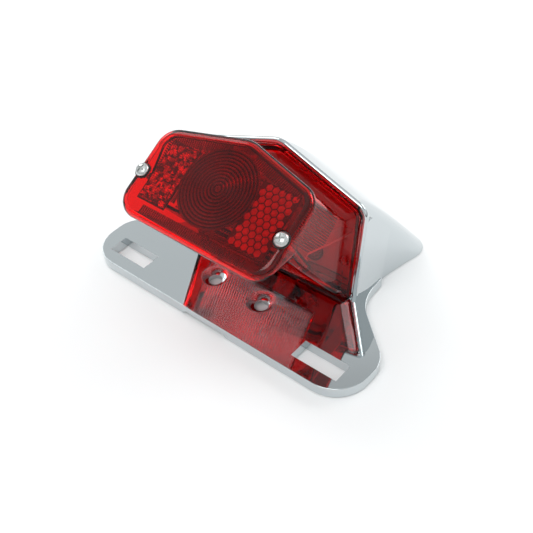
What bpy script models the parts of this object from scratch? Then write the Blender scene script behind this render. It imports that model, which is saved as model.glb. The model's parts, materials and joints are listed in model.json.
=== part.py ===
"""Motorcycle tail light: a chromed casting with a number-plate flange, a wedge-shaped red lens
and a two-filament bayonet bulb in a sprung holder.

Frame: +X across the bike, -Y to the rear where the lens faces, +Z up. The casting rests on Z = 0,
and the origin is the middle of the overall box at that height.
"""
from math import cos, hypot, pi, radians, sin, tan, acos

import bmesh
import bpy
from mathutils import Matrix, Vector

MM = 0.001
GAP = 0.3                   # clearance kept between neighbouring pieces

# Places are measured back from the line through the two plate slots, and heights from a datum
# that lies 6 mm below the plate face. The underside is a little lower than the datum.
PLATE_LINE_Y = -59.3
UNDERSIDE = -0.8

# Flange that carries the number plate
FLANGE_TOP = 6.0
FLANGE_HALF_WIDTH = 99.8
FLANGE_FRONT = -15.0
FLANGE_CORNER_RADIUS = 21.0
FLANGE_EDGE_ROUND = 2.2
RELIEF_DEPTH = 2.6          # shallow channel under the middle of the flange
RELIEF_HALF_WIDTH = 17.0
SLOT_PITCH = 146.0
SLOT_LENGTH = 30.2
SLOT_WIDTH = 12.9
HOLE_PITCH = 36.4
HOLE_SET_BACK = 15.0
HOLE_RADIUS = 4.3
COUNTERSINK_RADIUS = 9.5
COUNTERSINK_DEPTH = 3.6

# Rim of the casting, a house-shaped outline in a plane that leans back from the flange
RIM_SET_BACK = 46.5
RIM_LEAN = radians(9.8)
RIM_HALF_WIDTH = 62.7
RIM_SHOULDER = 66.9
RIM_APEX = 87.5
RIM_BEAD = 1.8

# Nacelle behind the rim
NACELLE_LENGTH = 77.4
NACELLE_DROP = 86.3
NACELLE_HALF_WIDTH = 57.5
NACELLE_FLARE = 18.0
NACELLE_WALL = 4.2
POCKET_INSET = 4.0
POCKET_DEPTH = 2.0
POCKET_FLOOR = 4.2
THROAT_INSET = 9.2
THROAT_FLOOR = 12.5
BAND_REAR_TOP = (79.7, 39.0)
BAND_REAR_FOOT = 72.0

# Lens
FACE_CENTRE = (1.2, 78.9)   # the point midway between the two lens screws
FACE_TILT = radians(29.1)
FACE_HALF_WIDTH = 54.3
FACE_BOTTOM = -25.4
FACE_SHOULDER = 28.9
FACE_APEX = 42.3
FACE_ROUND = 4.5
CAP_FLOOR = -10.0           # height on the face where the overhanging cap ends underneath
CAP_TOP = 14.0              # height on the face where the cap's side band runs out
CAP_SLOPE = 0.43
BODY_INSET = 9.9            # the lens body drawn in from the rim, just above its skirt
BODY_FLOOR = 9.0
LENS_WALL = 2.2
LENS_INSET = 4.5
LENS_FLOOR = 4.7
LENS_SEAT = -0.2
SCREW_PITCH = 99.4
SCREW_RADIUS = 2.0
SCREW_LENGTH = 33.0
WINDOW_WIDTH = 82.0
WINDOW_LENGTH = 44.0

# The skirt that widens the lens to its seat, from the body down: (drawn in, above rim, floor)
SKIRT = ((BODY_INSET, 7.0, BODY_FLOOR), (BODY_INSET - 0.8, 4.2, 8.0), (6.6, 2.4, 5.9),
         (LENS_INSET, 1.8, LENS_FLOOR), (LENS_INSET, LENS_SEAT, LENS_FLOOR))

# Base plate and lens brackets
BASE_PLATE_FRONT = -6.7
BASE_PLATE_THICK = 1.0
BASE_SCREW_X = 46.0
BASE_SCREW_V = 24.0

# Bulb and holder, measured along the bulb's axis from the rim plane
BULB_AXIS_ANGLE = radians(41.4)
BULB_AIM = 9.0              # height of the axis on the lens face above the screw line
SHELL_RADIUS = 8.5
SHELL_BORE = 7.9
SHELL_BACK = -23.9
SHELL_FRONT = 5.6
CAP_RADIUS = 7.5
CAP_BACK = -11.0
CAP_FRONT = 7.0
GLASS_RADIUS = 12.5
GLASS_TIP = 41.0
PIN_HEIGHTS = (-2.5, 0.5)
BULB_TRAVEL = 2.5
SPRING_RADIUS = 5.4
SPRING_WIRE = 0.45
SPRING_TURNS = 4
CONTACT_X = 3.2             # half the pitch of the bulb's two contacts

SIDES = (("left", -1), ("right", 1))

MATERIALS = {
    "chrome": ((0.80, 0.82, 0.84, 1), 0.08, 1.0),
    "red_lens": ((0.55, 0.01, 0.01, 1), 0.10, 0.0),
    "clear_plastic": ((0.85, 0.85, 0.85, 1), 0.10, 0.0),
    "black_rubber": ((0.02, 0.02, 0.02, 1), 0.70, 0.0),
    "zinc_steel": ((0.62, 0.63, 0.62, 1), 0.30, 1.0),
    "white_plate": ((0.75, 0.75, 0.73, 1), 0.35, 0.0),
    "brass": ((0.78, 0.60, 0.30, 1), 0.28, 1.0),
    "fibre": ((0.24, 0.12, 0.06, 1), 0.70, 0.0),
    "glass": ((0.95, 0.95, 0.95, 1), 0.03, 0.0),
    "black_glass": ((0.02, 0.02, 0.02, 1), 0.25, 0.0),
    "solder": ((0.60, 0.60, 0.58, 1), 0.40, 1.0),
    "tungsten": ((0.35, 0.35, 0.36, 1), 0.40, 1.0),
}

parts = None
cutters = None


# ---------------------------------------------------------------- scene and objects

def clear_scene():
    for obj in list(bpy.data.objects):
        bpy.data.objects.remove(obj, do_unlink=True)
    for collection in list(bpy.data.collections):
        bpy.data.collections.remove(collection)


def new_collection(name):
    collection = bpy.data.collections.new(name)
    bpy.context.scene.collection.children.link(collection)
    return collection


def get_material(name):
    material = bpy.data.materials.get(name)
    if material is None:
        colour, roughness, metallic = MATERIALS[name]
        material = bpy.data.materials.new(name)
        material.use_nodes = True
        shader = material.node_tree.nodes["Principled BSDF"]
        shader.inputs["Base Color"].default_value = colour
        shader.inputs["Roughness"].default_value = roughness
        shader.inputs["Metallic"].default_value = metallic
        material.diffuse_color = colour
    return material


def add_mesh(name, mesh, material=None, frame=None):
    """A mesh object in millimetres, set in its frame; without a material it is a cutter."""
    obj = bpy.data.objects.new(name, mesh)
    matrix = Matrix.Scale(MM, 4) @ (frame if frame is not None else world_frame())
    mesh.transform(matrix)
    if material is None:
        cutters.objects.link(obj)
        obj.hide_render = True
        obj.display_type = 'WIRE'
    else:
        parts.objects.link(obj)
        mesh.materials.clear()
        mesh.materials.append(get_material(material))
        mesh.shade_smooth()
        mesh.set_sharp_from_angle(angle=radians(32))
    return obj


def from_bmesh(name, bm, material=None, frame=None):
    mesh = bpy.data.meshes.new(name)
    bmesh.ops.recalc_face_normals(bm, faces=bm.faces)
    bm.to_mesh(mesh)
    bm.free()
    return add_mesh(name, mesh, material, frame)


def boolean(obj, tool, operation, solver='EXACT'):
    modifier = obj.modifiers.new(tool.name, 'BOOLEAN')
    modifier.operation = operation
    modifier.object = tool
    modifier.solver = solver


def cut(obj, *tools):
    for tool in tools:
        boolean(obj, tool, 'DIFFERENCE')


def join(obj, *tools):
    for tool in tools:
        boolean(obj, tool, 'UNION')


# ---------------------------------------------------------------- frames

def world_frame():
    return Matrix.Translation((0, PLATE_LINE_Y, -UNDERSIDE))


def side_frame():
    """The datum frame turned so that its local X runs back, local Y up and local Z across."""
    turn = Matrix(((0, 0, 1, 0), (1, 0, 0, 0), (0, 1, 0, 0), (0, 0, 0, 1)))
    return world_frame() @ turn


def frame_at(y, z, up):
    """A frame at (0, y, z) whose local Y is the given (y, z) direction and local X the world's."""
    local_y = Vector((0, up[0], up[1])).normalized()
    local_x = Vector((1, 0, 0))
    local_z = local_x.cross(local_y)
    axes = Matrix((local_x, local_y, local_z)).transposed().to_4x4()
    return world_frame() @ Matrix.Translation((0, y, z)) @ axes


def rim_frame():
    return frame_at(RIM_SET_BACK, 0, (sin(RIM_LEAN), cos(RIM_LEAN)))


def face_frame():
    return frame_at(FACE_CENTRE[0], FACE_CENTRE[1], (cos(FACE_TILT), sin(FACE_TILT)))


def bulb_frame():
    """Origin where the bulb's axis crosses the rim plane, local Z along the axis to the lens."""
    aim_y = FACE_CENTRE[0] + BULB_AIM * cos(FACE_TILT)
    aim_z = FACE_CENTRE[1] + BULB_AIM * sin(FACE_TILT)
    back_y = cos(BULB_AXIS_ANGLE)
    back_z = -sin(BULB_AXIS_ANGLE)
    lean = tan(RIM_LEAN)
    reach = (RIM_SET_BACK + lean * aim_z - aim_y) / (back_y - lean * back_z)
    return frame_at(aim_y + reach * back_y, aim_z + reach * back_z, (-back_z, back_y))


def window_frame():
    """Middle of the lens's underside, local Y up towards the face, local Z out of the lens."""
    datum = world_frame().inverted()
    low = datum @ rim_frame() @ Vector((0, BODY_FLOOR, SKIRT[0][1]))
    high = datum @ face_frame() @ Vector((0, CAP_FLOOR, -cap_depth(CAP_FLOOR)))
    middle = (low + high) / 2
    slope = high - low
    return frame_at(middle.y, middle.z, (slope.y, slope.z))


# ---------------------------------------------------------------- outlines and primitives

def rounded(corners, segments=6):
    """The outline through (x, y, radius) corners, each one rounded to its radius."""
    points = []
    count = len(corners)
    for index, (x, y, radius) in enumerate(corners):
        here = Vector((x, y))
        before = (Vector(corners[index - 1][:2]) - here).normalized()
        after = (Vector(corners[(index + 1) % count][:2]) - here).normalized()
        if radius <= 0:
            points.append((x, y))
            continue
        half = acos(max(-1.0, min(1.0, before.dot(after)))) / 2
        centre = here + (before + after).normalized() * (radius / sin(half))
        start = here + before * (radius / tan(half)) - centre
        end = here + after * (radius / tan(half)) - centre
        sweep = start.angle_signed(end)
        for step in range(segments + 1):
            turn = Matrix.Rotation(-sweep * step / segments, 2)
            point = centre + turn @ start
            points.append((point.x, point.y))
    return points


def house(half_width, floor, shoulder, apex, inset=0.0, radii=(8.0, 9.0, 16.0), segments=6):
    """A rounded house outline, drawn in by the inset on every side."""
    slope = (apex - shoulder) / half_width
    top = apex - inset * hypot(1, slope)
    width = half_width - inset
    eave = top - width * slope
    low = floor + inset
    foot, corner, crown = (max(0.6, radius - inset) for radius in radii)
    corners = [(width, low, foot), (width, eave, corner), (0, top, crown),
               (-width, eave, corner), (-width, low, foot)]
    return rounded(corners, segments)


def rim_outline(inset, floor, radii=(8.0, 9.0, 16.0), roof_drop=0.0):
    """The rim's outline drawn in at the sides and roof, with its floor at its own height."""
    return house(RIM_HALF_WIDTH, floor - inset, RIM_SHOULDER - roof_drop, RIM_APEX - roof_drop,
                 inset, radii)


def plate(name, outlines, low, high, material=None, frame=None):
    """A flat piece from closed outlines, the later ones being holes, between two heights."""
    curve = bpy.data.curves.new(name, 'CURVE')
    curve.dimensions = '2D'
    curve.fill_mode = 'BOTH'
    curve.extrude = (high - low) / 2
    for outline in outlines:
        spline = curve.splines.new('POLY')
        spline.points.add(len(outline) - 1)
        for point, (x, y) in zip(spline.points, outline):
            point.co = (x, y, 0, 1)
        spline.use_cyclic_u = True
    mesh = curve_to_mesh(name, curve)
    mesh.transform(Matrix.Translation((0, 0, (low + high) / 2)))
    return add_mesh(name, mesh, material, frame)


def curve_to_mesh(name, curve):
    obj = bpy.data.objects.new(name, curve)
    bpy.context.scene.collection.objects.link(obj)
    graph = bpy.context.evaluated_depsgraph_get()
    mesh = bpy.data.meshes.new_from_object(obj.evaluated_get(graph), depsgraph=graph)
    bpy.data.objects.remove(obj)
    bm = bmesh.new()
    bm.from_mesh(mesh)
    bmesh.ops.remove_doubles(bm, verts=bm.verts, dist=0.0005)
    bmesh.ops.recalc_face_normals(bm, faces=bm.faces)
    bm.to_mesh(mesh)
    bm.free()
    return mesh


def wire(name, points, radius, material=None, frame=None, sides=2):
    """A round wire with filled ends along the points."""
    curve = bpy.data.curves.new(name, 'CURVE')
    curve.dimensions = '3D'
    curve.bevel_depth = radius
    curve.bevel_resolution = sides
    curve.use_fill_caps = True
    spline = curve.splines.new('POLY')
    spline.points.add(len(points) - 1)
    for point, place in zip(spline.points, points):
        point.co = (*place, 1)
    return add_mesh(name, curve_to_mesh(name, curve), material, frame)


def add_cylinder(bm, radius, low, high, place=(0, 0), tip_radius=None, segments=28):
    tip = radius if tip_radius is None else tip_radius
    matrix = Matrix.Translation((place[0], place[1], (low + high) / 2))
    bmesh.ops.create_cone(bm, cap_ends=True, segments=segments, radius1=radius, radius2=tip,
                          depth=high - low, matrix=matrix)


def cylinders(name, specs, material=None, frame=None, segments=28):
    """One object of separate upright cylinders, each (radius, low, high, (x, y))."""
    bm = bmesh.new()
    for radius, low, high, place in specs:
        add_cylinder(bm, radius, low, high, place, segments=segments)
    return from_bmesh(name, bm, material, frame)


def boxes(name, specs, material=None, frame=None):
    """One object of separate boxes, each ((x, y, z) low corner, (x, y, z) high corner)."""
    bm = bmesh.new()
    for low, high in specs:
        size = Vector(high) - Vector(low)
        centre = (Vector(high) + Vector(low)) / 2
        matrix = Matrix.Translation(centre) @ Matrix.Diagonal((*size, 1))
        bmesh.ops.create_cube(bm, size=1, matrix=matrix)
    return from_bmesh(name, bm, material, frame)


def turned(name, profile, material=None, frame=None, places=((0, 0),), steps=32):
    """A turned piece at each place, from a profile of (radius, height) run top to bottom."""
    bm = bmesh.new()
    for x, y in places:
        ring = [bm.verts.new((radius, 0, height)) for radius, height in profile]
        for first, second in zip(ring, ring[1:]):
            bm.edges.new((first, second))
        if profile[0][0] > 0:
            bm.edges.new((ring[-1], ring[0]))
        geometry = ring + list({edge for vert in ring for edge in vert.link_edges})
        bmesh.ops.spin(bm, geom=geometry, cent=(0, 0, 0), axis=(0, 0, 1), angle=2 * pi,
                       steps=steps, use_merge=True)
        bmesh.ops.remove_doubles(bm, verts=bm.verts, dist=0.0005)
        moved = [vert for vert in bm.verts if not vert.tag]
        bmesh.ops.translate(bm, verts=moved, vec=(x, y, 0))
        for vert in moved:
            vert.tag = True
    return from_bmesh(name, bm, material, frame)


def loft(name, rings, material=None, keep_above=None):
    """A closed body through rings of equal point counts, optionally cut off flat at a height."""
    bm = bmesh.new()
    rows = [[bm.verts.new(point) for point in ring] for ring in rings]
    for lower, upper in zip(rows, rows[1:]):
        count = len(lower)
        for index in range(count):
            after = (index + 1) % count
            bm.faces.new((lower[index], lower[after], upper[after], upper[index]))
    bm.faces.new(rows[0][::-1])
    bm.faces.new(rows[-1])
    if keep_above is not None:
        everything = bm.verts[:] + bm.edges[:] + bm.faces[:]
        result = bmesh.ops.bisect_plane(bm, geom=everything, plane_co=(0, 0, keep_above),
                                        plane_no=(0, 0, -1), clear_outer=True)
        rim = [item for item in result["geom_cut"] if isinstance(item, bmesh.types.BMEdge)]
        bmesh.ops.edgenet_fill(bm, edges=rim)
    return from_bmesh(name, bm, material, Matrix.Identity(4))


# ---------------------------------------------------------------- casting

def nacelle_rings(inset, start, floor):
    """Leaning house sections, each one further back, lower and wider than the one before."""
    rings = []
    steps = 12
    for step in range(steps + 1):
        share = start + (1.14 - start) * step / steps
        half_width = NACELLE_HALF_WIDTH + NACELLE_FLARE * share ** 2
        slope = (RIM_APEX - RIM_SHOULDER) / RIM_HALF_WIDTH
        outline = house(half_width, floor - inset, RIM_APEX - slope * half_width, RIM_APEX, inset,
                        (8.0, 9.0 + 14.0 * share, 16.0 + 12.0 * share))
        shift = Matrix.Translation((0, NACELLE_LENGTH * share, -NACELLE_DROP * share ** 1.15))
        place = shift @ rim_frame()
        rings.append([place @ Vector((x, y, 0)) for x, y in outline])
    return rings


def side_band(name, side):
    """The upright wall between the rim's side and the nacelle, with its rear edge free."""
    lean = tan(RIM_LEAN)
    top = RIM_SHOULDER * cos(RIM_LEAN) - 2.0
    foot = FLANGE_TOP - 3.0
    front = RIM_SET_BACK - 0.8
    corners = [(front + lean * foot, foot, 0), (BAND_REAR_FOOT - 0.5, foot, 0),
               BAND_REAR_TOP + (3.0,), (front + lean * top, top, 4.0)]
    low, high = sorted((side * RIM_HALF_WIDTH, side * (RIM_HALF_WIDTH - 7.5)))
    return plate(name, [rounded(corners)], low, high, None, side_frame())


def flange_outline():
    corners = [(FLANGE_HALF_WIDTH, FLANGE_FRONT, FLANGE_CORNER_RADIUS),
               (FLANGE_HALF_WIDTH, 19.8, 16.0),
               (RIM_HALF_WIDTH + 1.5, 50.5, 30.0),
               (RIM_HALF_WIDTH + 0.6, BAND_REAR_FOOT, 0)]
    mirrored = [(-x, y, radius) for x, y, radius in reversed(corners)]
    return rounded(corners + mirrored, 8)


def make_housing():
    housing = loft("housing", nacelle_rings(0.0, 0.0, -20.0), "chrome", keep_above=0.0)

    flange = plate("flange_blank", [flange_outline()], UNDERSIDE, FLANGE_TOP)
    edges = flange.modifiers.new("edge_round", 'BEVEL')
    edges.width = FLANGE_EDGE_ROUND * MM
    edges.segments = 3
    edges.limit_method = 'ANGLE'
    edges.angle_limit = radians(60)
    join(housing, side_band("band_left", -1), side_band("band_right", 1), flange)

    inset = RIM_BEAD - 0.2
    foot = RIM_HALF_WIDTH - inset
    arch = [(x, y, 0) for x, y in rim_outline(inset, 3.0)[7:-7]]
    bead = wire("rim_bead", [(foot, 3.0, 0)] + arch + [(-foot, 3.0, 0)], RIM_BEAD, None,
                rim_frame(), 3)
    boolean(housing, bead, 'UNION', 'MANIFOLD')
    hollow_housing(housing)
    drill_housing(housing)


def hollow_housing(housing):
    pocket = plate("lens_pocket", [rim_outline(POCKET_INSET, POCKET_FLOOR)], -POCKET_DEPTH, 8.0,
                   None, rim_frame())
    throat = plate("throat", [rim_outline(THROAT_INSET, THROAT_FLOOR, roof_drop=1.2)],
                   -9.0, 1.0, None, rim_frame())
    cavity = loft("cavity", nacelle_rings(NACELLE_WALL, 0.1, -40.0), keep_above=-12.0)
    cut(housing, pocket, throat, cavity)

    lugs = boxes("plate_lugs", [((side * 50.5 - 7.5, BASE_SCREW_V - 5, -20.0),
                                 (side * 50.5 + 7.5, BASE_SCREW_V + 5, -8.0))
                                for side in (-1, 1)], None, rim_frame())
    join(housing, lugs)


def drill_housing(housing):
    lug_holes = cylinders("lug_holes", [(1.9, -19.0, -7.0, (side * BASE_SCREW_X, BASE_SCREW_V))
                                        for side in (-1, 1)], None, rim_frame(), 20)
    slots = boxes("plate_slots", [((side * SLOT_PITCH / 2 - SLOT_LENGTH / 2, -SLOT_WIDTH / 2, -4),
                                   (side * SLOT_PITCH / 2 + SLOT_LENGTH / 2, SLOT_WIDTH / 2, 12))
                                  for side in (-1, 1)])
    hole_places = [(side * HOLE_PITCH / 2, HOLE_SET_BACK) for side in (-1, 1)]
    countersink = [(0, 12), (COUNTERSINK_RADIUS, 12), (COUNTERSINK_RADIUS, FLANGE_TOP),
                   (HOLE_RADIUS, FLANGE_TOP - COUNTERSINK_DEPTH), (HOLE_RADIUS, -4), (0, -4)]
    holes = turned("fixing_holes", countersink, None, None, hole_places)
    narrow = RELIEF_HALF_WIDTH - 2.0
    wide = RELIEF_HALF_WIDTH + 2.0
    low = UNDERSIDE - RELIEF_DEPTH
    high = UNDERSIDE + RELIEF_DEPTH
    relief_outline = [(-wide, low), (wide, low), (narrow, high), (-narrow, high)]
    upright = Matrix.Rotation(pi / 2, 4, 'X')
    relief = plate("relief", [relief_outline], -56.0, -FLANGE_FRONT + 4.0, None,
                   world_frame() @ upright)
    cut(housing, lug_holes, slots, holes, relief)


# ---------------------------------------------------------------- lens

def face_outline(inset):
    return house(FACE_HALF_WIDTH, FACE_BOTTOM, FACE_SHOULDER, FACE_APEX, inset, (13.0, 13.0, 20.0))


def cap_depth(height):
    """How deep the cap's side band reaches below the face, at a height on the face."""
    return FACE_ROUND + CAP_SLOPE * max(0.0, CAP_TOP - height)


def lens_rings(inset, seat):
    """Sections from the rounded face, through the cap and the body, to the seat in the rim."""
    rings = []
    rounding = FACE_ROUND - inset * 0.5
    for angle in (90, 60, 30, 0):
        depth = inset + rounding * (1 - sin(radians(angle)))
        draw = inset + rounding * (1 - cos(radians(angle)))
        place = face_frame() @ Matrix.Translation((0, 0, -depth))
        rings.append([place @ Vector((x, y, 0)) for x, y in face_outline(draw)])
    for draw, deeper in ((0.0, 0.7), (1.2, 1.5)):
        neck = house(FACE_HALF_WIDTH, CAP_FLOOR - draw, FACE_SHOULDER, FACE_APEX, inset + draw,
                     (11.0, 13.0, 20.0))
        rings.append([face_frame() @ Vector((x, y, -cap_depth(y) - deeper - 0.4 * inset))
                      for x, y in neck])
    for draw, rise, floor in SKIRT:
        height = seat if rise == LENS_SEAT else rise - 0.4 * inset
        base = rim_frame() @ Matrix.Translation((0, 0, height))
        outline = rim_outline(draw + inset, floor + inset, (10.0, 12.0, 18.0))
        rings.append([base @ Vector((x, y, 0)) for x, y in outline])
    return rings


def make_lens():
    lens = loft("lens", lens_rings(0.0, LENS_SEAT), "red_lens")
    hollow = loft("lens_hollow", lens_rings(LENS_WALL, LENS_SEAT - 3.0))
    cut(lens, hollow)
    places = [(side * SCREW_PITCH / 2, 0) for side in (-1, 1)]
    bosses = cylinders("lens_bosses", [(3.2, -27.0, -1.5, place) for place in places], None,
                       face_frame(), 24)
    join(lens, bosses)
    bore = SCREW_RADIUS + GAP
    bore_profile = [(0, 4), (5.2, 4), (5.2, -1.0), (bore, -1.0), (bore, -36), (0, -36)]
    bores = turned("lens_bores", bore_profile, None, face_frame(), places, 28)
    opening = boxes("window_opening", [((-WINDOW_WIDTH / 2, -WINDOW_LENGTH / 2, -6),
                                        (WINDOW_WIDTH / 2, WINDOW_LENGTH / 2, 6))], None,
                    window_frame())
    clear = boxes("arm_clearance", [((side * 46.2 - 4.2, -3.8, -32.0), (side * 46.2 + 4.2, 6.4, -27.2))
                                    for side in (-1, 1)], None, face_frame())
    cut(lens, bores, opening, clear)


def make_window():
    half_width = WINDOW_WIDTH / 2 - GAP
    half_length = WINDOW_LENGTH / 2 - GAP
    corners = [(half_width, -half_length, 0), (half_width, half_length, 0),
               (-half_width, half_length, 0), (-half_width, -half_length, 0)]
    plate("lens_window", [rounded(corners)], -LENS_WALL, 0.0, "clear_plastic", window_frame())


def make_gasket():
    outer = rim_outline(LENS_INSET, LENS_FLOOR)
    inner = rim_outline(LENS_INSET + 2.6, LENS_FLOOR + 2.6)
    plate("lens_gasket", [outer, inner], -POCKET_DEPTH + GAP, LENS_SEAT - GAP, "black_rubber",
          rim_frame())


def make_lens_screws():
    head = [(0, 2.6), (2.2, 2.35), (3.5, 1.6), (4.1, 0.6), (4.1, 0.0), (SCREW_RADIUS, 0.0),
            (SCREW_RADIUS, -SCREW_LENGTH), (0, -SCREW_LENGTH)]
    ring = [(2.3, -0.3), (4.8, -0.3), (4.8, -0.7), (2.3, -0.7)]
    for word, side in SIDES:
        x = side * SCREW_PITCH / 2
        screw = turned("lens_screw_" + word, head, "zinc_steel", face_frame(), ((x, 0),), 24)
        bar = boxes("drive_bar_" + word, [((x - 2.3, -0.45, 1.3), (x + 2.3, 0.45, 4))], None,
                    face_frame())
        across = boxes("drive_cross_" + word, [((x - 0.45, -2.3, 1.3), (x + 0.45, 2.3, 4))], None,
                       face_frame())
        cut(screw, bar, across)
        turned("lens_screw_washer_" + word, ring, "black_rubber", face_frame(), ((x, 0),), 24)


# ---------------------------------------------------------------- base plate and brackets

def make_base_plate():
    outline = rim_outline(THROAT_INSET + 0.4, THROAT_FLOOR + 0.5, roof_drop=1.2)
    sheet = plate("base_plate", [outline], BASE_PLATE_FRONT - BASE_PLATE_THICK, BASE_PLATE_FRONT,
                  "white_plate", rim_frame())
    datum = world_frame().inverted()
    foot = datum @ rim_frame() @ Vector((0, 46.0, BASE_PLATE_FRONT - 0.5))
    corners = [datum @ face_frame() @ Vector((0, height, -depth)) for height, depth in
               ((-3.4, 27.5), (6.0, 27.5))]
    under = [datum @ face_frame() @ Vector((0, height, -depth)) for height, depth in
             ((5.2, 28.7), (-3.4, 28.7))]
    profile = [(point.y, point.z) for point in corners + [foot, foot - Vector((0, 0, 1.8))] + under]
    for word, side in SIDES:
        low, high = sorted((side * 42.5, side * 50.1))
        join(sheet, plate("arm_" + word, [profile], low, high, None, side_frame()))
    bores = cylinders("arm_bores", [(SCREW_RADIUS + GAP, -36, -25, (side * SCREW_PITCH / 2, 0))
                                    for side in (-1, 1)], None, face_frame(), 20)
    screw_holes = cylinders("sheet_holes", [(2.2, -9, -5, (side * BASE_SCREW_X, BASE_SCREW_V))
                                            for side in (-1, 1)], None, rim_frame(), 20)
    holder_hole = cylinders("holder_hole", [(11.0, -24, 12, (0, 0))], None, bulb_frame(), 36)
    grommet_hole = cylinders("grommet_hole", [(4.2, -9, -5, (26, 22))], None, rim_frame(), 24)
    rivet_holes = cylinders("rivet_holes", [(1.8, -9, -5, place) for place in rivet_places()],
                            None, rim_frame(), 16)
    cut(sheet, bores, screw_holes, holder_hole, grommet_hole, rivet_holes)

    for word, side in SIDES:
        low, high = sorted((side * 43.5, side * 50.1))
        nut = boxes("lens_screw_nut_" + word, [((low, -3.0, -31.6), (high, 3.0, -29.1))],
                    "zinc_steel", face_frame())
        cut(nut, bores)


def make_base_screws():
    top = BASE_PLATE_FRONT + GAP
    head = [(0, top + 2.0), (1.8, top + 1.8), (3.2, top + 1.0), (3.4, top), (1.6, top),
            (1.6, -18.0), (0, -18.0)]
    for word, side in SIDES:
        turned("base_plate_screw_" + word, head, "zinc_steel", rim_frame(),
               ((side * BASE_SCREW_X, BASE_SCREW_V),), 20)


def make_grommet():
    front = BASE_PLATE_FRONT + GAP
    back = BASE_PLATE_FRONT - BASE_PLATE_THICK - GAP
    profile = [(2.5, front + 1.5), (6.0, front + 1.5), (6.0, front), (3.9, front), (3.9, back),
               (6.0, back), (6.0, back - 1.5), (2.5, back - 1.5)]
    turned("cable_grommet", profile, "black_rubber", rim_frame(), ((26, 22),), 28)


def rivet_places():
    height = bulb_crossing_height()
    return [(side * 20.5, height) for side in (-1, 1)]


def bulb_crossing_height():
    """Where the bulb's axis passes the base plate, as a height in the rim's plane."""
    local = rim_frame().inverted() @ bulb_frame() @ Vector((0, 0, -8.0))
    return local.y


# ---------------------------------------------------------------- bulb holder

def make_bracket():
    bracket = boxes("holder_bracket", [((-16, -13, 3.0), (16, 13, 4.2))], "zinc_steel",
                    bulb_frame())
    plane = rim_frame().inverted()
    profile = []
    for y, z in ((12.7, 3.7), (-12.7, 3.7)):
        point = plane @ bulb_frame() @ Vector((0, y, z))
        profile.append((point.y, point.z))
    front = BASE_PLATE_FRONT + GAP
    low_v = profile[1][0]
    high_v = profile[0][0]
    profile += [(low_v + 2.0, front + 0.4), (high_v - 2.0, front + 0.4)]
    turn = world_frame().inverted() @ side_frame()
    for word, side in SIDES:
        low, high = sorted((side * 14.7, side * 15.8))
        join(bracket, plate("cheek_" + word, [profile], low, high, None, rim_frame() @ turn))
    height = bulb_crossing_height()
    feet = boxes("bracket_feet", [((-25, height - 6, front), (-15, height + 6, front + 1.2)),
                                  ((15, height - 6, front), (25, height + 6, front + 1.2))],
                 None, rim_frame())
    join(bracket, feet)
    hole = cylinders("bracket_hole", [(SHELL_RADIUS + GAP, -3, 8, (0, 0))], None, bulb_frame(), 36)
    foot_holes = cylinders("foot_holes", [(1.8, -8, 0, place) for place in rivet_places()], None,
                           rim_frame(), 16)
    cut(bracket, hole, foot_holes)

    top = BASE_PLATE_FRONT + GAP + 1.2 + GAP
    back = BASE_PLATE_FRONT - BASE_PLATE_THICK - GAP
    rivet = [(0, top + 1.2), (1.8, top + 1.0), (3.0, top), (1.5, top), (1.5, back), (3.0, back),
             (1.8, back - 1.0), (0, back - 1.2)]
    for (word, _), place in zip(SIDES, rivet_places()):
        turned("bracket_rivet_" + word, rivet, "zinc_steel", rim_frame(), (place,), 16)


def make_holder():
    flange = 11.2
    profile = [(SHELL_BORE, SHELL_FRONT), (flange, SHELL_FRONT), (flange, SHELL_FRONT - 1.1),
               (SHELL_RADIUS, SHELL_FRONT - 1.1), (SHELL_RADIUS, SHELL_BACK),
               (SHELL_BORE, SHELL_BACK)]
    shell = turned("bulb_holder", profile, "zinc_steel", bulb_frame(), ((0, 0),), 36)
    tools = []
    for index, height in enumerate(PIN_HEIGHTS):
        low = height - BULB_TRAVEL - 1.6
        side = Matrix.Rotation(pi * index, 4, 'Z')
        hook = ((5, -1.6, low), (10, 1.6, height + 1.6))
        tools.append((hook, side))
        turn_box = ((5, -2.0, low), (10, 2.0, low + 3.2))
        tools.append((turn_box, side @ Matrix.Rotation(radians(14), 4, 'Z')))
        entry = ((5, -1.6, low), (10, 1.6, SHELL_FRONT + 2))
        tools.append((entry, side @ Matrix.Rotation(radians(30), 4, 'Z')))
    for index, (box, turn) in enumerate(tools):
        cut(shell, boxes("bayonet_slot_%d" % index, [box], None, bulb_frame() @ turn))


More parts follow.
